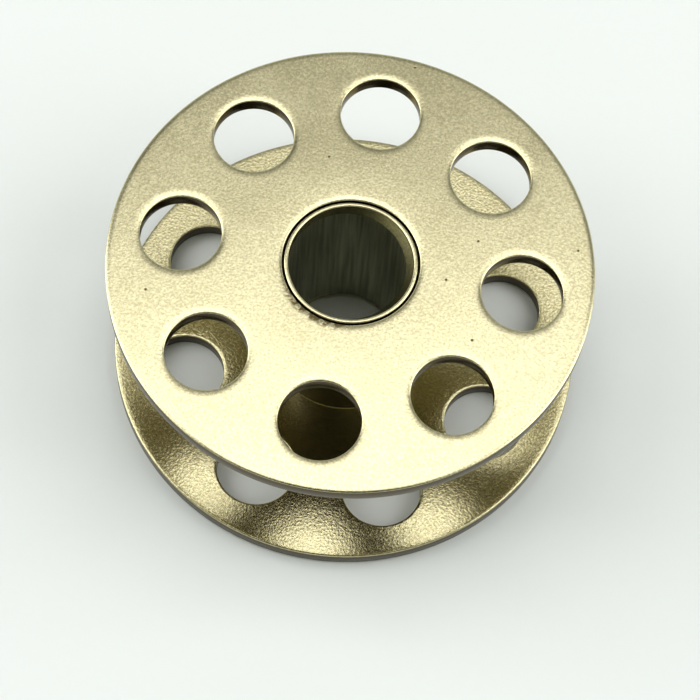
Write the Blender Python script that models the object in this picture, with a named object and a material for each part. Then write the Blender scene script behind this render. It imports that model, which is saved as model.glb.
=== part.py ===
"""Empty metal bobbin: two pierced sheet flanges held on a hub tube whose turned-down ends are flared into them.

Metres, +Z up along the bore. The flat land round the hub of the lower flange's outer face lies on z = 0, and from
there both flanges are slightly coned, so that their rims stand a little closer together than their hubs.
"""

import math

import bmesh
import bpy
from mathutils import Vector

MM = 0.001

# Whole bobbin
FLANGE_RADIUS = 12.5 * MM
OVERALL_HEIGHT = 10.7 * MM

# Flange sheet
SHEET_THICKNESS = 0.9 * MM
HOLES_PER_FLANGE = 8
HOLE_RADIUS = 2.1 * MM
HOLE_CIRCLE_RADIUS = 8.85 * MM
CENTRE_HOLE_RADIUS = 3.54 * MM
LOWER_FLANGE_TURN = math.radians(23.0)
LAND_RADIUS = 5.2 * MM
CONE_DROP = 0.15 * MM

# Rounding that the punch draws into the outer face: width along the face, depth into the sheet
RIM_ROLL = (0.3 * MM, 0.07 * MM)
HOLE_ROLL = (0.42 * MM, 0.07 * MM)
CENTRE_HOLE_ROLL = (0.34 * MM, 0.07 * MM)
ROLL_STEPS = 3
# The mouth of a hole starts this far below the face, so that it is in the coned sheet all the way round
MOUTH_SINK = 0.012 * MM
RIM_EDGE_BREAK = 0.08 * MM

# Hub tube
BARREL_RADIUS = 4.0 * MM
BORE_RADIUS = 3.0 * MM
NECK_RADIUS = 3.5 * MM
NECK_TOP_DEPTH = 0.45 * MM
LIP_OUTER = (3.38 * MM, 0.12 * MM)
LIP_CREST = (3.31 * MM, 0.05 * MM)
MOUTH = (3.24 * MM, 0.1 * MM)
FLARE_DEPTH = 0.62 * MM
FLARE_STEPS = 4
SEAT_GAP = 0.02 * MM

# Facets round a full circle
RIM_FACETS = 96
HOLE_FACETS = 32
TUBE_FACETS = 64

CUTTER_REACH = 1.0 * MM
CONE_ANGLE = math.atan(CONE_DROP / (FLANGE_RADIUS - LAND_RADIUS))
SAME_POINT = 0.00001 * MM
SHARP_ANGLE = math.radians(35)


def clear_scene():
    for old in list(bpy.data.objects):
        bpy.data.objects.remove(old, do_unlink=True)


def rolled_edge(wall_radius, roll, steps, outwards):
    """Quarter ellipse from the wall, at the roll's depth, to the flat outer face.

    outwards is +1 where the material lies outside the wall, as round a hole, and -1 at the rim.
    """
    width, depth = roll
    points = []
    for step in range(steps + 1):
        turn = math.pi / 2 * (1 - step / steps)
        inset = width * (1 - math.sin(turn))
        points.append((wall_radius + outwards * inset, -depth * (1 - math.cos(turn))))
    return points


def turned(name, profile, facets):
    """Revolve a closed (radius, height) outline about Z. The outline runs anticlockwise, radius to the right."""
    mesh = bpy.data.meshes.new(name)
    shape = bmesh.new()
    rings = []
    for facet in range(facets):
        angle = 2 * math.pi * facet / facets
        ring = [shape.verts.new((r * math.cos(angle), r * math.sin(angle), z)) for r, z in profile]
        rings.append(ring)
    count = len(profile)
    for facet in range(facets):
        near = rings[facet]
        far = rings[(facet + 1) % facets]
        for start in range(count):
            end = (start + 1) % count
            if profile[start][0] == 0 and profile[end][0] == 0:
                continue
            shape.faces.new((near[start], far[start], far[end], near[end]))
    bmesh.ops.remove_doubles(shape, verts=shape.verts, dist=SAME_POINT)
    shape.to_mesh(mesh)
    shape.free()
    made = bpy.data.objects.new(name, mesh)
    bpy.context.scene.collection.objects.link(made)
    return made


def smooth(made):
    for face in made.data.polygons:
        face.use_smooth = True
    made.data.set_sharp_from_angle(angle=SHARP_ANGLE)


def nickel(name, colour, roughness):
    material = bpy.data.materials.new(name)
    material.use_nodes = True
    shader = material.node_tree.nodes["Principled BSDF"]
    shader.inputs["Base Color"].default_value = (*colour, 1.0)
    shader.inputs["Roughness"].default_value = roughness
    shader.inputs["Metallic"].default_value = 1.0
    return material


def cone_drop(radius):
    """How far the sheet has dropped towards the other flange at this radius: nothing on the land, then evenly."""
    return max(0.0, radius - LAND_RADIUS) * math.tan(CONE_ANGLE)


def flange_profile():
    """Outline of one flange, its outer face's land on height 0 and the sheet below it, coned towards the rim."""
    rim = rolled_edge(FLANGE_RADIUS, RIM_ROLL, ROLL_STEPS, -1)
    mouth = rolled_edge(CENTRE_HOLE_RADIUS, CENTRE_HOLE_ROLL, ROLL_STEPS, 1)
    inner_face = [
        (CENTRE_HOLE_RADIUS, -SHEET_THICKNESS),
        (LAND_RADIUS, -SHEET_THICKNESS),
        (FLANGE_RADIUS - RIM_EDGE_BREAK, -SHEET_THICKNESS),
        (FLANGE_RADIUS, -SHEET_THICKNESS + RIM_EDGE_BREAK),
    ]
    outline = inner_face + rim + [(LAND_RADIUS, 0)] + mouth[::-1]
    return [(radius, height - cone_drop(radius)) for radius, height in outline]


def hole_cutter(name):
    """Punch shape of one hole: straight through the sheet, widening into the rolled mouth."""
    mouth = rolled_edge(HOLE_RADIUS, HOLE_ROLL, ROLL_STEPS, 1)
    low = -SHEET_THICKNESS - CUTTER_REACH
    outline = [(0, low), (HOLE_RADIUS, low)] + mouth
    outline += [(mouth[-1][0], CUTTER_REACH), (0, CUTTER_REACH)]
    cutter = turned(name, outline, HOLE_FACETS)
    cutter.hide_render = True
    cutter.display_type = "WIRE"
    return cutter


def flange(name, height, faces_up, turn, material):
    """Pierced flange with its outer face at this height, looking up or down, and its holes turned about Z.

    Each hole is square to the coned sheet that it goes through.
    """
    disc = turned(name, flange_profile(), RIM_FACETS)
    disc.data.materials.append(material)
    smooth(disc)
    disc.location = (0, 0, height)
    disc.rotation_euler = (0 if faces_up else math.pi, 0, turn)
    for number in range(HOLES_PER_FLANGE):
        angle = 2 * math.pi * number / HOLES_PER_FLANGE
        cutter = hole_cutter(f"{name}_cutter_{number + 1}")
        cutter.parent = disc
        place = Vector((math.cos(angle), math.sin(angle), 0)) * HOLE_CIRCLE_RADIUS
        cutter.location = place - Vector((0, 0, cone_drop(HOLE_CIRCLE_RADIUS) + MOUTH_SINK))
        cutter.rotation_euler = (0, CONE_ANGLE, angle)
        pierce = disc.modifiers.new(f"hole_{number + 1}", "BOOLEAN")
        pierce.operation = "DIFFERENCE"
        pierce.solver = "EXACT"
        pierce.object = cutter
    return disc


def flared_end():
    """Upper end of the tube from its shoulder to the bore, as (radius, depth below the outer face)."""
    end = [
        (BARREL_RADIUS, SHEET_THICKNESS + SEAT_GAP),
        (NECK_RADIUS, SHEET_THICKNESS + SEAT_GAP),
        (NECK_RADIUS, NECK_TOP_DEPTH),
        LIP_OUTER,
        LIP_CREST,
        MOUTH,
    ]
    mouth_radius, mouth_depth = MOUTH
    for step in range(1, FLARE_STEPS + 1):
        turn = math.pi / 2 * step / FLARE_STEPS
        radius = BORE_RADIUS + (mouth_radius - BORE_RADIUS) * (1 - math.sin(turn))
        depth = FLARE_DEPTH - (FLARE_DEPTH - mouth_depth) * math.cos(turn)
        end.append((radius, depth))
    return end


def hub_tube(name, material):
    """Barrel between the flanges with a necked, flared end through each of them."""
    end = flared_end()
    upper = [(radius, OVERALL_HEIGHT - depth) for radius, depth in end]
    lower = end[::-1]
    tube = turned(name, upper + lower, TUBE_FACETS)
    tube.data.materials.append(material)
    smooth(tube)
    return tube


clear_scene()
flange("lower_flange", 0, False, LOWER_FLANGE_TURN, nickel("lower_flange_nickel", (0.60, 0.57, 0.47), 0.28))
flange("upper_flange", OVERALL_HEIGHT, True, 0, nickel("upper_flange_nickel", (0.60, 0.57, 0.47), 0.28))
hub_tube("hub_tube", nickel("hub_tube_nickel", (0.55, 0.52, 0.44), 0.32))
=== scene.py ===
"""Looks of an empty metal thread bobbin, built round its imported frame.

Metres, +Z up along the bore, the flat land round the lower flange's hub on z = 0.
"""

import math

import bmesh
import bpy
import numpy as np
from mathutils import Matrix, Vector


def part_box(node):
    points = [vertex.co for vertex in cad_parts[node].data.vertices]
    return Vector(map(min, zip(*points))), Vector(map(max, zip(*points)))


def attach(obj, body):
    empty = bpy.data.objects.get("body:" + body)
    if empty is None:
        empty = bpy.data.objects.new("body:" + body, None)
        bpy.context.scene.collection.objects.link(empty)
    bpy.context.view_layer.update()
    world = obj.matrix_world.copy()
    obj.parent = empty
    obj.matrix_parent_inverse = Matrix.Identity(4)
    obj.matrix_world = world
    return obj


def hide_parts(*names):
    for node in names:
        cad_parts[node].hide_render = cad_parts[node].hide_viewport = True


bl_info = {
    "name": "Metal thread bobbin",
    "version": (1, 0, 0),
    "blender": (4, 5, 0),
    "location": "3D View > Sidebar > Bobbin",
    "description": "Builds the two pierced flanges, the flared hub tube and the studio of a metal bobbin",
    "category": "Object",
}

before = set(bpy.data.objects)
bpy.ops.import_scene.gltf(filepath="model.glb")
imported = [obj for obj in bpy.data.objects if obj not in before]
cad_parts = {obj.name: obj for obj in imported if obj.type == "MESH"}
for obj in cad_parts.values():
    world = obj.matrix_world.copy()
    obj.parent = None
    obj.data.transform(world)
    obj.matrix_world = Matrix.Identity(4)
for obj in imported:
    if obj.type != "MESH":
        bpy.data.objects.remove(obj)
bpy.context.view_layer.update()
UPPER_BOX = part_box("upper_flange")
TUBE_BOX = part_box("hub_tube")

MM = 0.001

# Sizes that the frame gives
FLANGE_RADIUS = float(UPPER_BOX[1][0])
OVERALL_HEIGHT = float(UPPER_BOX[1][2])
BARREL_RADIUS = float(TUBE_BOX[1][0])
LIP_DROP = float(UPPER_BOX[1][2] - TUBE_BOX[1][2])

# Sizes that these pieces share with the frame's parts
HOLES_PER_FLANGE = 8
HOLE_RADIUS = 2.1 * MM
HOLE_CIRCLE_RADIUS = 8.85 * MM
CENTRE_HOLE_RADIUS = 3.54 * MM
BORE_RADIUS = 3.0 * MM
NECK_RADIUS = 3.5 * MM
LOWER_FLANGE_TURN = math.radians(23.0)
LAND_RADIUS = 5.2 * MM
CONE_DROP = 0.15 * MM
SHEET_THICKNESS = float(UPPER_BOX[1][2] - UPPER_BOX[0][2]) - CONE_DROP

# Sizes of these pieces alone: the straight side of the lip, and how softly the land runs into the cone
LIP_SIDE = 0.08 * MM
CONE_BLEND = 0.8 * MM

# Grid steps of a flange: along each side of one hole's sector, over the roundings, and out across the flat
OUTER_ARC_STEPS = 32
INNER_ARC_STEPS = 16
SPOKE_STEPS = 28
ROLL_STEPS = 9
BREAK_STEPS = 3
RIM_BREAK_STEPS = 5
SPREAD_STEPS = 7

# A power above 1 crowds the steps on the flat towards the hole
SPREAD_POWER = 1.5

# Grid steps of the tube
TUBE_FACETS = 256
SHOULDER_STEPS = 4
CREST_STEPS = 10
FLARE_STEPS = 14
BORE_STEPS = 8

# Points closer than this are merged
SAME_POINT = 0.00001 * MM

# Finishes of a piece's faces. All but the first are marked on the mesh for the material to read
# The inner, sheared and barrel finishes also set where the material's colour paints shade
FINISHES = ("plated", "inner", "sheared", "barrel", "bore")


def linear(hex_colour):
    """sRGB hex to linear red, green, blue and alpha.

    Up to 0.04045 a value is divided by 12.92, above that it is ((value + 0.055) / 1.055) to the power 2.4.
    """
    values = np.array([int(hex_colour[i : i + 2], 16) for i in (1, 3, 5)]) / 255
    low = values / 12.92
    high = ((values + 0.055) / 1.055) ** 2.4
    return (*np.where(values <= 0.04045, low, high).tolist(), 1.0)


def quarter_roll(steps, width, depth):
    """Inset from the wall and depth below the face along a quarter ellipse, from the wall to the face.

    inset = width (1 - sin a), depth below = depth (1 - cos a), with a running from a quarter turn to 0.
    """
    angle = np.linspace(math.pi / 2, 0, steps + 1)
    return width * (1 - np.sin(angle)), depth * (1 - np.cos(angle))


def mesh_piece(name, grids, body, node, material):
    """One closed mesh from (grid, finish) pairs: (rows, columns, 3) points, and one of FINISHES.

    Neighbouring grid points make the quads. Points that meet are merged, then the faces are turned outwards.
    """
    points, faces, finishes, start = [], [], [], 0
    for grid, finish in grids:
        rows, columns = grid.shape[:2]
        index = start + np.arange(rows * columns).reshape(rows, columns)
        corners = (index[:-1, :-1], index[1:, :-1], index[1:, 1:], index[:-1, 1:])
        faces.append(np.stack([corner.ravel() for corner in corners], axis=1))
        points.append(grid.reshape(-1, 3))
        finishes.append(np.full((rows - 1) * (columns - 1), FINISHES.index(finish)))
        start += rows * columns
    finishes = np.concatenate(finishes)
    mesh = bpy.data.meshes.new(name)
    mesh.from_pydata(np.concatenate(points).tolist(), [], np.concatenate(faces).tolist())
    for number, finish in enumerate(FINISHES[1:], start=1):
        layer = mesh.attributes.new(finish, "FLOAT", "FACE")
        layer.data.foreach_set("value", (finishes == number).astype(np.float32))
    shape = bmesh.new()
    shape.from_mesh(mesh)
    bmesh.ops.remove_doubles(shape, verts=shape.verts, dist=SAME_POINT)
    bmesh.ops.recalc_face_normals(shape, faces=shape.faces)
    open_edges = sum(1 for edge in shape.edges if not edge.is_manifold)
    if open_edges:
        raise RuntimeError(f"{name} has {open_edges} open edges")
    if shape.calc_volume(signed=True) < 0:
        bmesh.ops.reverse_faces(shape, faces=shape.faces)
    shape.to_mesh(mesh)
    shape.free()
    mesh.polygons.foreach_set("use_smooth", np.ones(len(mesh.polygons), dtype=bool))
    mesh.materials.append(material)
    piece = bpy.data.objects.new(name, mesh)
    bpy.context.scene.collection.objects.link(piece)
    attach(piece, body)
    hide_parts(node)


# ---------------------------------------------------------------- flange surfaces


def sector_outline(inner_radius, outer_radius):
    """Closed outline of one hole's share of the flange, as radius and angle about the bobbin's axis.

    Out along one spoke, round the outer arc, in along the other spoke and back round the inner arc.
    """
    half = math.pi / HOLES_PER_FLANGE
    spoke = np.linspace(inner_radius, outer_radius, SPOKE_STEPS + 1)[:-1]
    back_spoke = np.linspace(outer_radius, inner_radius, SPOKE_STEPS + 1)[:-1]
    outer = np.linspace(-half, half, OUTER_ARC_STEPS + 1)[:-1]
    inner = np.linspace(half, -half, INNER_ARC_STEPS + 1)
    radius = np.concatenate(
        [spoke, np.full(len(outer), outer_radius), back_spoke, np.full(len(inner), inner_radius)]
    )
    angle = np.concatenate([np.full(len(spoke), -half), outer, np.full(len(back_spoke), half), inner])
    return radius, angle


def sector_face(sizes, roll_width, roll_depth, steps, height, upwards):
    """Face round one hole, as rings of points from the hole's wall out to the sector's edge.

    Each column runs straight out from the hole's centre to a point of the outline. Its first points follow
    the quarter roll beside the wall, and the rest spread out on the flat, wider apart towards the outline.
    """
    radius, angle = sector_outline(sizes["mouth"], sizes["flat"])
    edge = np.stack([radius * np.cos(angle), radius * np.sin(angle)], axis=1)
    centre = np.array([HOLE_CIRCLE_RADIUS, 0.0])
    reach = np.linalg.norm(edge - centre, axis=1)
    ray = (edge - centre) / reach[:, None]
    inset, depth = quarter_roll(steps, roll_width, roll_depth)
    share = np.linspace(0, 1, SPREAD_STEPS + 1)[1:] ** SPREAD_POWER
    rolled = np.broadcast_to((HOLE_RADIUS + inset)[:, None], (len(inset), len(reach)))
    start = HOLE_RADIUS + roll_width
    spread = start + share[:, None] * (reach - start)[None, :]
    along = np.concatenate([rolled, spread])
    drop = np.concatenate([depth, np.zeros(SPREAD_STEPS)])
    flat = centre + along[:, :, None] * ray[None, :, :]
    z = np.broadcast_to((height - upwards * drop)[:, None], along.shape)
    return np.concatenate([flat, z[:, :, None]], axis=2)


def turned_strip(angles, profile):
    """Profile of (radius, height) points swept through angles: x = r cos a, y = r sin a, z = height."""
    r, z = np.array(profile).T
    x = r[:, None] * np.cos(angles)[None, :]
    y = r[:, None] * np.sin(angles)[None, :]
    return np.stack([x, y, np.broadcast_to(z[:, None], x.shape)], axis=2)


def turned_about_z(grid, angle):
    """The grid turned about the bobbin's axis: x' = x cos a - y sin a, y' = x sin a + y cos a."""
    cosine, sine = math.cos(angle), math.sin(angle)
    x, y, z = grid[..., 0], grid[..., 1], grid[..., 2]
    return np.stack([cosine * x - sine * y, sine * x + cosine * y, z], axis=-1)


def coned(grid):
    """The grid lowered by the flange's shallow cone: nearly level on the land, evenly steep further out.

    drop = slope (u + sqrt(u^2 + blend^2)) / 2, with u the radius beyond the land's edge.
    """
    slope = CONE_DROP / (FLANGE_RADIUS - LAND_RADIUS)
    beyond = np.hypot(grid[..., 0], grid[..., 1]) - LAND_RADIUS
    drop = slope * (beyond + np.sqrt(beyond**2 + CONE_BLEND**2)) / 2
    return grid - drop[..., None] * np.array([0.0, 0.0, 1.0])


def flange_sector(settings):
    """Grids of one hole's sector, outer face at height 0 and the sheet below it, each with its finish.

    The outer face rolls down into the hole, the rim and the centre hole on quarter ellipses. The walls are
    straight, and the inner face has a small quarter-round break at the hole and at the rim.
    """
    broken = settings.edge_break
    low = -SHEET_THICKNESS
    sizes = {
        "mouth": CENTRE_HOLE_RADIUS + settings.mouth_roll_width,
        "flat": FLANGE_RADIUS - settings.rim_roll_width,
    }
    outer = sector_face(sizes, settings.hole_roll_width, settings.hole_roll_depth, ROLL_STEPS, 0.0, 1)
    inner = sector_face(sizes, broken, broken, BREAK_STEPS, low, -1)
    wall = np.stack([outer[0], inner[0]])

    half = math.pi / HOLES_PER_FLANGE
    outer_angles = np.linspace(-half, half, OUTER_ARC_STEPS + 1)
    inner_angles = np.linspace(-half, half, INNER_ARC_STEPS + 1)

    inset, depth = quarter_roll(ROLL_STEPS, settings.rim_roll_width, settings.rim_roll_depth)
    rim_top = turned_strip(outer_angles, np.stack([FLANGE_RADIUS - inset, -depth], axis=1))
    inset, depth = quarter_roll(RIM_BREAK_STEPS, settings.rim_break, settings.rim_break)
    rim_bottom = turned_strip(outer_angles, np.stack([FLANGE_RADIUS - inset, low + depth], axis=1))
    ledge = turned_strip(outer_angles, [(FLANGE_RADIUS - settings.rim_break, low), (sizes["flat"], low)])
    rim_wall = np.stack([rim_top[0], rim_bottom[0]])

    inset, depth = quarter_roll(ROLL_STEPS, settings.mouth_roll_width, settings.mouth_roll_depth)
    mouth_top = turned_strip(inner_angles, np.stack([CENTRE_HOLE_RADIUS + inset, -depth], axis=1))
    mouth_foot = turned_strip(inner_angles, [(CENTRE_HOLE_RADIUS, low), (sizes["mouth"], low)])
    mouth_wall = np.stack([mouth_top[0], mouth_foot[0]])

    finishes = {
        "plated": (outer, rim_top, mouth_top),
        "inner": (inner, rim_bottom, ledge, mouth_foot),
        "sheared": (wall, rim_wall, mouth_wall),
    }
    return [(coned(grid), finish) for finish, grids in finishes.items() for grid in grids]


def flange_grids(settings, height, faces_up, turn):
    """The sector repeated round the axis, its outer face up at this height, or turned over to look down."""
    grids = []
    for number in range(HOLES_PER_FLANGE):
        angle = turn + 2 * math.pi * number / HOLES_PER_FLANGE
        for grid, finish in flange_sector(settings):
            placed = grid if faces_up else grid * np.array([1.0, -1.0, -1.0])
            placed = turned_about_z(placed, angle) + np.array([0.0, 0.0, height])
            grids.append((placed, finish))
    return grids


# ---------------------------------------------------------------- hub tube surface


def arc(centre, radii, start, end, steps):
    """Points on an ellipse arc: centre plus (a cos t, b sin t) from start to end in degrees."""
    t = np.radians(np.linspace(start, end, steps + 1))
    return np.stack([centre[0] + radii[0] * np.cos(t), centre[1] + radii[1] * np.sin(t)], axis=1)


def tube_end(settings):
    """Upper end of the tube as (radius, depth below the flange's face), from the shoulder over the lip.

    The barrel's rounded shoulder steps in to the neck, which narrows towards the outer edge of a round lip.
    """
    seat = SHEET_THICKNESS + settings.seat_gap
    rounding = settings.shoulder_round
    centre = (BARREL_RADIUS - rounding, seat + rounding)
    shoulder = arc(centre, (rounding, -rounding), 0, 90, SHOULDER_STEPS)
    lip_edge = settings.lip_radius
    crest_half = (lip_edge - settings.mouth_radius) / 2
    crest_foot = LIP_DROP + settings.lip_round
    crest = arc((lip_edge - crest_half, crest_foot), (crest_half, -settings.lip_round), 0, 180, CREST_STEPS)
    neck = [(NECK_RADIUS, seat), (NECK_RADIUS, settings.neck_top), (lip_edge, crest_foot + LIP_SIDE)]
    return np.concatenate([shoulder, neck, crest])


def flare_grid(settings, angles):
    """Cone inside the upper end, rows running down from the lip's crest to the top of the bore.

    Each row is a circle: x = radius cos a + drift x share, y = radius sin a + drift y share. The radius runs
    evenly from the mouth's to the bore's with the share of the way down, so the bore stands off the axis.
    """
    share = np.linspace(0, 1, FLARE_STEPS + 1)
    top = LIP_DROP + settings.lip_round
    depth = top + (settings.flare_depth - top) * share
    radius = settings.mouth_radius + (BORE_RADIUS - settings.mouth_radius) * share
    drift = np.array(settings.bore_drift)
    x = radius[:, None] * np.cos(angles) + (drift[0] * share)[:, None]
    y = radius[:, None] * np.sin(angles) + (drift[1] * share)[:, None]
    z = np.broadcast_to((OVERALL_HEIGHT - depth)[:, None], x.shape)
    return np.stack([x, y, z], axis=2)


def tube_grids(settings):
    """The tube's outside, swept round the axis, its two flares, and the bore drawn straight between them."""
    end = tube_end(settings)
    upper = np.stack([end[:, 0], OVERALL_HEIGHT - end[:, 1]], axis=1)
    lower = end[::-1]
    angles = np.linspace(0, 2 * math.pi, TUBE_FACETS + 1)
    outside = turned_strip(angles, np.stack([lower[-1], upper[0]]))
    ends = [turned_strip(angles, outline) for outline in (upper, lower)]
    upper_flare = flare_grid(settings, angles)
    lower_flare = upper_flare * np.array([1.0, 1.0, -1.0]) + np.array([0.0, 0.0, OVERALL_HEIGHT])
    down = np.linspace(0, 1, BORE_STEPS + 1)[:, None, None]
    bore = upper_flare[-1] * (1 - down) + lower_flare[-1] * down
    return [
        (outside, "barrel"),
        (ends[0], "plated"),
        (ends[1], "plated"),
        (upper_flare, "plated"),
        (lower_flare, "plated"),
        (bore, "bore"),
    ]


# ---------------------------------------------------------------- materials

# Sockets of a Mix node, which has several of each name
MIX_SHARE = 0
COLOUR_A, COLOUR_B, COLOUR_OUT = 6, 7, 2
NUMBER_A, NUMBER_B, NUMBER_OUT = 2, 3, 0

# Plate: how its noises are sized and blended, and the part of a noise's range that makes a full change
COARSE_PER_FINE = 2.5
COARSE_SHARE = 0.25
CLOUD_SHARE = 0.25
DRAG_STRETCH = 0.04
GRAIN_SPAN = (0.38, 0.62)
STREAK_SPAN = (0.30, 0.70)
PATCH_SPAN = (0.44, 0.56)
ROUGHNESS_SPREAD = 0.04

# Wear: the draw above which a cell holds a pit, the share of a pit's and a scuff's reach that is fully worn,
# and how strong the scuff is at the centre hole's edge
PIT_CHOICE = 0.75
PIT_CORE = 0.5
SCUFF_CORE = 0.5
SCUFF_GAIN = 2.2

# Floor paper
FIBRE_SPACING = 0.5 * MM
FIBRE_SHADE = 0.985
PAPER_ROUGHNESS = 0.9


def add_node(tree, kind, inputs, output=0, **own):
    """Adds one shader node and returns one of its outputs.

    Inputs and the output go by name or number. An input is linked if its value is a socket, and set if not.
    own holds the node's own settings.
    """
    node = tree.nodes.new(kind)
    for name, value in own.items():
        setattr(node, name, value)
    for name, value in inputs.items():
        if isinstance(value, bpy.types.NodeSocket):
            tree.links.new(value, node.inputs[name])
        else:
            node.inputs[name].default_value = value
    return node.outputs[output]


def plate_noises(tree, place, look):
    """Noises of the plate: fine and coarse orange peel, faint clouds, and drag lines along the axis.

    The peel and the lines are drawn coarser than a real plate's, so that they show.
    """
    along = add_node(tree, "ShaderNodeMapping", {"Vector": place, "Scale": (1.0, 1.0, DRAG_STRETCH)})
    kinds = {
        "fine": (place, look.grain_size, 3.0, 0.6),
        "coarse": (place, COARSE_PER_FINE * look.grain_size, 2.0, 0.5),
        "cloud": (place, look.cloud_size, 4.0, 0.5),
        "drag": (along, look.drag_spacing, 3.0, 0.5),
    }
    noises = {}
    for name, (vector, size, detail, roughness) in kinds.items():
        inputs = {"Vector": vector, "Scale": 1 / size, "Detail": detail, "Roughness": roughness}
        noises[name] = add_node(tree, "ShaderNodeTexNoise", inputs, "Fac")
    return noises


def pits(tree, place, look):
    """Share of pit at each point: a small round spot at the seed of about one cell in seven."""
    inputs = {"Vector": place, "Scale": 1 / look.pit_spacing}
    cells = add_node(tree, "ShaderNodeTexVoronoi", inputs, "Distance", voronoi_dimensions="2D")
    edge = look.pit_size / look.pit_spacing
    fade = {"Value": cells, "From Min": PIT_CORE * edge, "From Max": edge, "To Min": 1.0, "To Max": 0.0}
    spot = add_node(tree, "ShaderNodeMapRange", fade)
    lot = cells.node.outputs["Color"]
    chosen = add_node(tree, "ShaderNodeMath", {0: lot, 1: PIT_CHOICE}, operation="GREATER_THAN")
    return add_node(tree, "ShaderNodeMath", {0: spot, 1: chosen}, operation="MULTIPLY")


def hub_scuff(tree, place, look, patches):
    """Share of scuff, where the plate is rubbed through beside the hub on one side of the upper face.

    It is the nearness to the centre hole times the nearness to the scuff's middle times a patchy noise.
    """
    flat = add_node(tree, "ShaderNodeMapping", {"Vector": place, "Scale": (1.0, 1.0, 0.0)})
    off_axis = add_node(tree, "ShaderNodeVectorMath", {0: flat}, "Value", operation="LENGTH")
    ring_edge = CENTRE_HOLE_RADIUS + look.scuff_width
    fade = {"From Min": CENTRE_HOLE_RADIUS, "From Max": ring_edge, "To Min": SCUFF_GAIN, "To Max": 0.0}
    ring = add_node(tree, "ShaderNodeMapRange", {"Value": off_axis, **fade})
    middle = (*look.scuff_place, OVERALL_HEIGHT)
    away = add_node(tree, "ShaderNodeVectorMath", {0: place, 1: middle}, "Value", operation="DISTANCE")
    reach = look.scuff_reach
    fade = {"From Min": SCUFF_CORE * reach, "From Max": reach, "To Min": 1.0, "To Max": 0.0}
    near = add_node(tree, "ShaderNodeMapRange", {"Value": away, **fade})
    low, high = PATCH_SPAN
    patchy = add_node(tree, "ShaderNodeMapRange", {"Value": patches, "From Min": low, "From Max": high})
    scuff = add_node(tree, "ShaderNodeMath", {0: ring, 1: near}, operation="MULTIPLY")
    return add_node(tree, "ShaderNodeMath", {0: scuff, 1: patchy}, operation="MULTIPLY", use_clamp=True)


def two_tones(tree, noise, span, dark, light):
    """Colour that runs from dark to light over this span of a noise."""
    low, high = span
    shade = add_node(tree, "ShaderNodeMapRange", {"Value": noise, "From Min": low, "From Max": high})
    inputs = {MIX_SHARE: shade, COLOUR_A: linear(dark), COLOUR_B: linear(light)}
    return add_node(tree, "ShaderNodeMix", inputs, COLOUR_OUT, data_type="RGBA")


def plate_colour(tree, look, noises, part, worn):
    """Colour of each finish, two-toned by the grain on the faces and by the drag lines in the bore."""
    shares = {MIX_SHARE: CLOUD_SHARE, NUMBER_A: noises["fine"], NUMBER_B: noises["cloud"]}
    peel = add_node(tree, "ShaderNodeMix", shares, NUMBER_OUT, data_type="FLOAT")
    tint = two_tones(tree, peel, GRAIN_SPAN, look.colour_low, look.colour_high)
    # The inner faces' tones are darker than the outer plate's, as painted shade between the flanges
    inner = two_tones(tree, peel, GRAIN_SPAN, look.colour_inner_shaded_low, look.colour_inner_shaded_high)
    bore = two_tones(tree, noises["drag"], STREAK_SPAN, look.colour_bore_low, look.colour_bore_high)
    layers = (
        (part["inner"], inner),
        # The sheared walls' colour is partly a duller sheared surface and partly painted shade inside the
        # holes
        (part["sheared"], linear(look.colour_sheared_shaded)),
        # The barrel's colour is darker as painted shade between the flanges
        (part["barrel"], linear(look.colour_barrel_shaded)),
        (part["bore"], bore),
        (worn, linear(look.colour_worn)),
    )
    for share, tone in layers:
        inputs = {MIX_SHARE: share, COLOUR_A: tint, COLOUR_B: tone}
        tint = add_node(tree, "ShaderNodeMix", inputs, COLOUR_OUT, data_type="RGBA")
    return tint


def plate_roughness(tree, look, noises, part, worn):
    """Blur of each finish. The faces' own varies a little with the clouds."""
    spread = {"To Min": look.roughness - ROUGHNESS_SPREAD, "To Max": look.roughness + ROUGHNESS_SPREAD}
    rough = add_node(tree, "ShaderNodeMapRange", {"Value": noises["cloud"], **spread})
    layers = (
        (part["inner"], look.roughness_inner),
        (part["barrel"], look.roughness_inner),
        (part["sheared"], look.roughness_sheared),
        (part["bore"], look.roughness_bore),
        (worn, look.roughness_worn),
    )
    for share, value in layers:
        inputs = {MIX_SHARE: share, NUMBER_A: rough, NUMBER_B: value}
        rough = add_node(tree, "ShaderNodeMix", inputs, NUMBER_OUT, data_type="FLOAT")
    return rough


def plate_normal(tree, look, noises, part, worn):
    """Bump of the grain, or of the drag lines on the walls and in the bore, with the worn spots sunk in.

    Heights are in metres, so the bump has a distance of 1.
    """
    depths = {MIX_SHARE: part["inner"], NUMBER_A: look.grain_depth, NUMBER_B: look.grain_depth_inner}
    depth = add_node(tree, "ShaderNodeMix", depths, NUMBER_OUT, data_type="FLOAT")
    sizes = {0: noises["coarse"], 1: COARSE_SHARE, 2: noises["fine"]}
    peel = add_node(tree, "ShaderNodeMath", sizes, operation="MULTIPLY_ADD")
    walls = add_node(tree, "ShaderNodeMath", {0: part["sheared"], 1: part["bore"]}, operation="ADD")
    skins = {MIX_SHARE: walls, NUMBER_A: peel, NUMBER_B: noises["drag"]}
    skin = add_node(tree, "ShaderNodeMix", skins, NUMBER_OUT, data_type="FLOAT")
    height = add_node(tree, "ShaderNodeMath", {0: skin, 1: depth}, operation="MULTIPLY")
    sunk = {0: worn, 1: -look.pit_depth, 2: height}
    height = add_node(tree, "ShaderNodeMath", sunk, operation="MULTIPLY_ADD")
    return add_node(tree, "ShaderNodeBump", {"Height": height, "Distance": 1.0, "Strength": 1.0})


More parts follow.
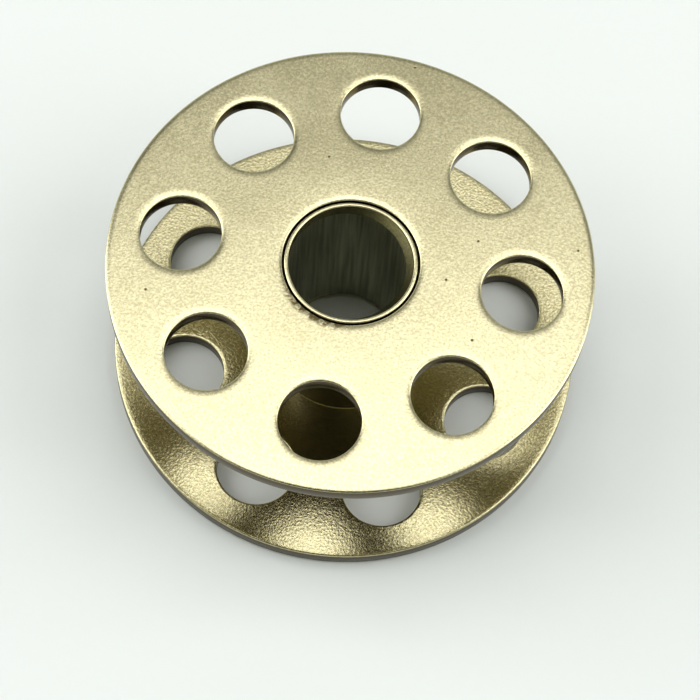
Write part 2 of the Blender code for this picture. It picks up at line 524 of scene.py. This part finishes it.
def nickel_plate(name, look, marks):
    """Semi-bright nickel plate on stamped and drawn steel.

    Plating over a rolled and barrel-polished blank keeps a fine orange-peel grain, with a few pits and
    scuffs, and reflects softly with a warm champagne tint. The inner faces keep more of the blank's grain, so
    they sparkle, and their tones are darker as painted shade between the flanges. Sheared walls are darker,
    partly as a duller sheared surface and partly as painted shade inside the holes, with drag lines along the
    punch's travel. The barrel is darker as painted shade between the flanges, and the bore is darker and
    greyer. marks is the share of pits and scuffs, 0 or 1.
    """
    material = bpy.data.materials.new(name)
    material.use_nodes = True
    tree = material.node_tree
    shader = tree.nodes["Principled BSDF"]
    shader.inputs["Metallic"].default_value = 1.0
    place = add_node(tree, "ShaderNodeTexCoord", {}, "Object")
    part = {}
    for finish in FINISHES[1:]:
        part[finish] = add_node(tree, "ShaderNodeAttribute", {}, "Fac", attribute_name=finish)
    noises = plate_noises(tree, place, look)
    scuff = hub_scuff(tree, place, look, noises["coarse"])
    worn = add_node(tree, "ShaderNodeMath", {0: scuff, 1: pits(tree, place, look)}, operation="MAXIMUM")
    worn = add_node(tree, "ShaderNodeMath", {0: worn, 1: marks}, operation="MULTIPLY")
    tree.links.new(plate_colour(tree, look, noises, part, worn), shader.inputs["Base Color"])
    tree.links.new(plate_roughness(tree, look, noises, part, worn), shader.inputs["Roughness"])
    tree.links.new(plate_normal(tree, look, noises, part, worn), shader.inputs["Normal"])
    return material


def floor_paper(colour):
    """Matt white paper, pressed: spreads light evenly, with a barely visible fibre mottle."""
    material = bpy.data.materials.new("white_paper")
    material.use_nodes = True
    tree = material.node_tree
    shader = tree.nodes["Principled BSDF"]
    place = add_node(tree, "ShaderNodeTexCoord", {}, "Object")
    fibre = {"Vector": place, "Scale": 1 / FIBRE_SPACING, "Detail": 4.0}
    mottle = add_node(tree, "ShaderNodeTexNoise", fibre, "Fac")
    red, green, blue, alpha = linear(colour)
    hollow = (red * FIBRE_SHADE, green * FIBRE_SHADE, blue * FIBRE_SHADE, alpha)
    inputs = {MIX_SHARE: mottle, COLOUR_A: hollow, COLOUR_B: (red, green, blue, alpha)}
    shade = add_node(tree, "ShaderNodeMix", inputs, COLOUR_OUT, data_type="RGBA")
    tree.links.new(shade, shader.inputs["Base Color"])
    shader.inputs["Roughness"].default_value = PAPER_ROUGHNESS
    return material


# ---------------------------------------------------------------- settings


def length(name, description, default):
    """A size in metres."""
    unit = {"subtype": "DISTANCE", "unit": "LENGTH", "precision": 6}
    return bpy.props.FloatProperty(name=name, description=description, default=default, min=0.0, **unit)


def colour(name, description, default):
    """A colour as sRGB hex."""
    return bpy.props.StringProperty(name=name, description=f"{description}, sRGB hex", default=default)


def blur(name, description, default):
    """A shader's roughness."""
    return bpy.props.FloatProperty(name=name, description=description, default=default, min=0.03, max=1.0)


def glow(name, description, default):
    """A strength of the world's light."""
    return bpy.props.FloatProperty(name=name, description=description, default=default, min=0.0)


def turn_angle(name, description, degrees):
    """An angle, whose default is given in degrees."""
    default = math.radians(degrees)
    return bpy.props.FloatProperty(name=name, description=description, default=default, subtype="ANGLE")


class FlangeSettings(bpy.types.PropertyGroup):
    """Edge shapes that stamping gives each flange."""

    hole_roll_width: length("Hole roll width", "Width of the rounding round each hole", 0.42 * MM)
    hole_roll_depth: length("Hole roll depth", "Depth of the rounding round each hole", 0.07 * MM)
    rim_roll_width: length("Rim roll width", "Width of the rounding at the outer edge", 0.3 * MM)
    rim_roll_depth: length("Rim roll depth", "Depth of the rounding at the outer edge", 0.07 * MM)
    mouth_roll_width: length("Mouth roll width", "Width of the rounding round the centre hole", 0.34 * MM)
    mouth_roll_depth: length("Mouth roll depth", "Depth of the rounding round the centre hole", 0.07 * MM)
    edge_break: length("Edge break", "Rounding on the inner face's hole edges", 0.06 * MM)
    rim_break: length("Rim break", "Rounding on the inner face's outer edge", 0.10 * MM)


class TubeSettings(bpy.types.PropertyGroup):
    """Shape of the hub tube's flared ends."""

    lip_radius: length("Lip radius", "Outer radius of the lip", 3.42 * MM)
    mouth_radius: length("Mouth radius", "Inner radius at the crest of the lip", 3.21 * MM)
    lip_round: length("Lip round", "Height of the lip's rounded crest", 0.05 * MM)
    flare_depth: length("Flare depth", "Depth at which the flare meets the bore", 0.62 * MM)
    neck_top: length("Neck top", "Depth at which the neck starts to narrow", 0.45 * MM)
    shoulder_round: length("Shoulder round", "Rounding of the barrel's shoulder", 0.05 * MM)
    seat_gap: length("Seat gap", "Gap between shoulder and flange", 0.02 * MM)
    bore_drift: bpy.props.FloatVectorProperty(
        name="Bore drift",
        description="How far the bore stands off the axis, so that the flare is wide on one side",
        default=(-0.2 * MM, 0.02 * MM),
        size=2,
        subtype="XYZ",
        unit="LENGTH",
    )


class NickelSettings(bpy.types.PropertyGroup):
    """Finish of the nickel plate."""

    colour_low: colour("Colour low", "Plate in the grain's hollows", "#B7B08D")
    colour_high: colour("Colour high", "Plate on the grain's tops", "#D1CAA7")
    # Inner tones: the grain's hollows and tops, darker than the outer plate as painted shade between the
    # flanges
    colour_inner_shaded_low: colour("Colour inner low", "Inner faces, in the grain's hollows", "#A49D7B")
    colour_inner_shaded_high: colour("Colour inner high", "Inner faces, on the grain's tops", "#C8C19D")
    # Sheared tone: partly a duller sheared surface, partly painted shade inside the holes
    colour_sheared_shaded: colour("Colour sheared", "Walls that the punch sheared", "#5C5342")
    # Barrel tone: darker than the plate, as painted shade between the flanges
    colour_barrel_shaded: colour("Colour barrel", "Outside of the hub tube", "#736D59")
    colour_bore_low: colour("Colour bore low", "Inside of the hub tube, in its dark streaks", "#8E8E7A")
    colour_bore_high: colour("Colour bore high", "Inside of the hub tube, in its light streaks", "#B4B69E")
    colour_worn: colour("Colour worn", "Pits and scuffs", "#716549")
    roughness: blur("Roughness", "Blur of the plate", 0.25)
    roughness_inner: blur("Inner roughness", "Blur of the inner faces and the barrel", 0.17)
    roughness_sheared: blur("Sheared roughness", "Blur of the sheared walls", 0.26)
    roughness_bore: blur("Bore roughness", "Blur inside the hub tube", 0.45)
    roughness_worn: blur("Worn roughness", "Blur of pits and scuffs", 0.55)
    grain_size: length("Grain size", "Spacing of the orange-peel grain", 0.13 * MM)
    grain_depth: length("Grain depth", "Depth of the grain on the outer faces", 0.0055 * MM)
    grain_depth_inner: length("Inner grain depth", "Depth of the grain on the inner faces", 0.012 * MM)
    cloud_size: length("Cloud size", "Spacing of the faint tint clouds", 3.0 * MM)
    drag_spacing: length("Drag spacing", "Spacing of the drag lines on walls and in the bore", 0.18 * MM)
    pit_spacing: length("Pit spacing", "Size of the cells that may hold one pit", 3.1 * MM)
    pit_size: length("Pit size", "Outer radius of a pit", 0.09 * MM)
    pit_depth: length("Pit depth", "Depth of pits and scuffs", 0.008 * MM)
    scuff_width: length("Scuff width", "How far the scuff reaches from the centre hole", 0.42 * MM)
    scuff_reach: length("Scuff reach", "How far the scuff reaches round the hub", 2.4 * MM)
    scuff_place: bpy.props.FloatVectorProperty(
        name="Scuff place",
        description="Middle of the scuff on the upper face",
        default=(-1.6 * MM, -3.2 * MM),
        size=2,
        subtype="XYZ",
        unit="LENGTH",
    )


class StudioSettings(bpy.types.PropertyGroup):
    """Floor, lights and camera."""

    floor_half: length("Floor half width", "Half the floor's width", 1.5)
    floor_colour: colour("Floor colour", "Paper", "#DCDFDC")
    air_colour: colour("Air colour", "Light from the room and the walls", "#F4FAF6")
    room_glow: glow("Room glow", "Light that comes from everywhere above the bobbin", 0.06)
    horizon_glow: glow("Horizon glow", "Light that comes from the pale walls round the bobbin", 0.85)
    horizon_low: turn_angle("Horizon low", "Height angle where the walls start to darken", 22)
    horizon_high: turn_angle("Horizon high", "Height angle where the walls have faded", 48)
    backdrop_glow: glow("Backdrop glow", "Paleness of the backdrop behind the floor", 0.85)
    lens: bpy.props.FloatProperty(name="Lens", description="Focal length, mm", default=124.0, unit="CAMERA")
    distance: length("Distance", "Camera to target", 132.49 * MM)
    azimuth: turn_angle("Azimuth", "Camera's turn about the axis", 5.29)
    elevation: turn_angle("Elevation", "Camera's height angle", 65.875)
    roll: turn_angle("Roll", "Camera's turn about its own axis", 5.264)
    target: bpy.props.FloatVectorProperty(
        name="Target",
        description="Point at the frame's middle",
        default=(0.366 * MM, -0.089 * MM, 0.0),
        subtype="XYZ",
        unit="LENGTH",
    )


# ---------------------------------------------------------------- operators


class BOBBIN_OT_flanges(bpy.types.Operator):
    """Build the two pierced flanges"""

    bl_idname = "bobbin.flanges"
    bl_label = "Flanges"

    def execute(self, context):
        settings = context.scene.bobbin_flange
        plate = nickel_plate("semi_bright_nickel_plate", context.scene.bobbin_nickel, 1.0)
        upper = flange_grids(settings, OVERALL_HEIGHT, True, 0.0)
        lower = flange_grids(settings, 0.0, False, LOWER_FLANGE_TURN)
        mesh_piece("upper_flange_plate", upper, "root", "upper_flange", plate)
        mesh_piece("lower_flange_plate", lower, "root", "lower_flange", plate)
        return {"FINISHED"}


class BOBBIN_OT_hub_tube(bpy.types.Operator):
    """Build the hub tube with its flared ends"""

    bl_idname = "bobbin.hub_tube"
    bl_label = "Hub tube"

    def execute(self, context):
        drawn = nickel_plate("drawn_nickel_plated_tube", context.scene.bobbin_nickel, 0.0)
        grids = tube_grids(context.scene.bobbin_tube)
        mesh_piece("flared_hub_tube", grids, "root", "hub_tube", drawn)
        return {"FINISHED"}


# Softboxes round the bobbin: name, compass angle from the back (90 is its right), height angle, distance,
# size in metres across and up, strength. None stands on the camera's side, so that above the pale walls the
# metal mirrors only the dim room there, which draws its dark lines.
SOFTBOXES = (
    ("overhead_softbox", 352, 80.5, 0.6, (0.40, 0.34), 2.15),
    ("back_softbox", 0, 56, 0.6, (0.36, 0.21), 0.54),
    ("right_softbox", 82, 44, 0.7, (0.50, 0.60), 2.4),
    ("left_softbox", 272, 40, 0.7, (0.52, 0.70), 2.4),
)

# Camera: width of its sensor in millimetres, and the nearest and furthest that it sees, in metres
SENSOR_WIDTH = 36.0
CLIP_RANGE = (0.005, 10.0)


def softbox(aim, name, azimuth, elevation, distance, size, strength):
    """Rectangular light at this direction from the aim point, facing it. Strength is its radiance."""
    a, e = math.radians(azimuth), math.radians(elevation)
    out = Vector((math.sin(a) * math.cos(e), math.cos(a) * math.cos(e), math.sin(e)))
    data = bpy.data.lights.new(name, "AREA")
    data.shape = "RECTANGLE"
    data.size, data.size_y = size
    data.energy = strength * math.pi * size[0] * size[1]
    lamp = bpy.data.objects.new(name, data)
    lamp.location = aim + out * distance
    lamp.rotation_mode = "QUATERNION"
    lamp.rotation_quaternion = out.to_track_quat("Z", "Y")
    lamp.visible_camera = False
    bpy.context.scene.collection.objects.link(lamp)


def floor(scene, studio):
    """Flat square of paper on z = 0, where the bobbin stands."""
    half = studio.floor_half
    corners = [(-half, -half, 0), (half, -half, 0), (half, half, 0), (-half, half, 0)]
    mesh = bpy.data.meshes.new("floor_paper")
    mesh.from_pydata(corners, [], [(0, 1, 2, 3)])
    mesh.materials.append(floor_paper(studio.floor_colour))
    paper = bpy.data.objects.new("floor_paper", mesh)
    scene.collection.objects.link(paper)


def studio_air(studio):
    """Pale walls round the bobbin that fade into a dim room above it, and an even backdrop for the camera.

    The strength follows the height of the direction, the sine of its angle, from horizon_low to horizon_high.
    """
    world = bpy.data.worlds.new("studio_air")
    world.use_nodes = True
    tree = world.node_tree
    air = tree.nodes["Background"]
    air.inputs["Color"].default_value = linear(studio.air_colour)
    seen = add_node(tree, "ShaderNodeLightPath", {}, "Is Camera Ray")
    direction = add_node(tree, "ShaderNodeTexCoord", {}, "Generated")
    height = add_node(tree, "ShaderNodeSeparateXYZ", {"Vector": direction}, "Z")
    fade = {
        "From Min": math.sin(studio.horizon_low),
        "From Max": math.sin(studio.horizon_high),
        "To Min": studio.horizon_glow,
        "To Max": studio.room_glow,
    }
    walls = add_node(tree, "ShaderNodeMapRange", {"Value": height, **fade})
    inputs = {MIX_SHARE: seen, NUMBER_A: walls, NUMBER_B: studio.backdrop_glow}
    strength = add_node(tree, "ShaderNodeMix", inputs, NUMBER_OUT, data_type="FLOAT")
    tree.links.new(strength, air.inputs["Strength"])
    return world


def product_camera(studio):
    """Camera that looks at the target from this azimuth and elevation, rolled about its own axis."""
    data = bpy.data.cameras.new("product_camera")
    data.sensor_width = SENSOR_WIDTH
    data.lens = studio.lens
    data.clip_start, data.clip_end = CLIP_RANGE
    camera = bpy.data.objects.new("product_camera", data)
    a, e, roll = studio.azimuth, studio.elevation, studio.roll
    right = Vector((math.cos(a), math.sin(a), 0))
    back = Vector((math.sin(a) * math.cos(e), -math.cos(a) * math.cos(e), math.sin(e)))
    up = back.cross(right)
    across = right * math.cos(roll) + up * math.sin(roll)
    upright = up * math.cos(roll) - right * math.sin(roll)
    camera.matrix_world = Matrix((across, upright, back)).transposed().to_4x4()
    camera.location = Vector(studio.target) + back * studio.distance
    return camera


class BOBBIN_OT_studio(bpy.types.Operator):
    """Set up the pale floor, the soft lights and the camera"""

    bl_idname = "bobbin.studio"
    bl_label = "Studio"

    def execute(self, context):
        scene = context.scene
        studio = scene.bobbin_studio
        floor(scene, studio)
        scene.world = studio_air(studio)
        aim = Vector((0, 0, OVERALL_HEIGHT))
        for softbox_values in SOFTBOXES:
            softbox(aim, *softbox_values)
        camera = product_camera(studio)
        scene.collection.objects.link(camera)
        scene.camera = camera
        scene.view_settings.view_transform = "Standard"
        scene.view_settings.look = "Medium High Contrast"
        return {"FINISHED"}


class BOBBIN_PT_panel(bpy.types.Panel):
    """Lists the bobbin's steps and settings"""

    bl_idname = "BOBBIN_PT_panel"
    bl_label = "Metal bobbin"
    bl_space_type = "VIEW_3D"
    bl_region_type = "UI"
    bl_category = "Bobbin"

    def draw(self, context):
        for operator in STEPS:
            self.layout.operator(operator.bl_idname)
        for name, group in SETTINGS.items():
            column = self.layout.column()
            for field in group.__annotations__:
                column.prop(getattr(context.scene, name), field)


STEPS = (BOBBIN_OT_flanges, BOBBIN_OT_hub_tube, BOBBIN_OT_studio)
SETTINGS = {
    "bobbin_flange": FlangeSettings,
    "bobbin_tube": TubeSettings,
    "bobbin_nickel": NickelSettings,
    "bobbin_studio": StudioSettings,
}


def register():
    for kind in (*SETTINGS.values(), *STEPS, BOBBIN_PT_panel):
        bpy.utils.register_class(kind)
    for name, group in SETTINGS.items():
        setattr(bpy.types.Scene, name, bpy.props.PointerProperty(type=group))


def unregister():
    for name in SETTINGS:
        delattr(bpy.types.Scene, name)
    for kind in reversed((*SETTINGS.values(), *STEPS, BOBBIN_PT_panel)):
        bpy.utils.unregister_class(kind)


def main():
    register()
    bpy.ops.bobbin.flanges()
    bpy.ops.bobbin.hub_tube()
    bpy.ops.bobbin.studio()


if __name__ == "__main__":
    main()
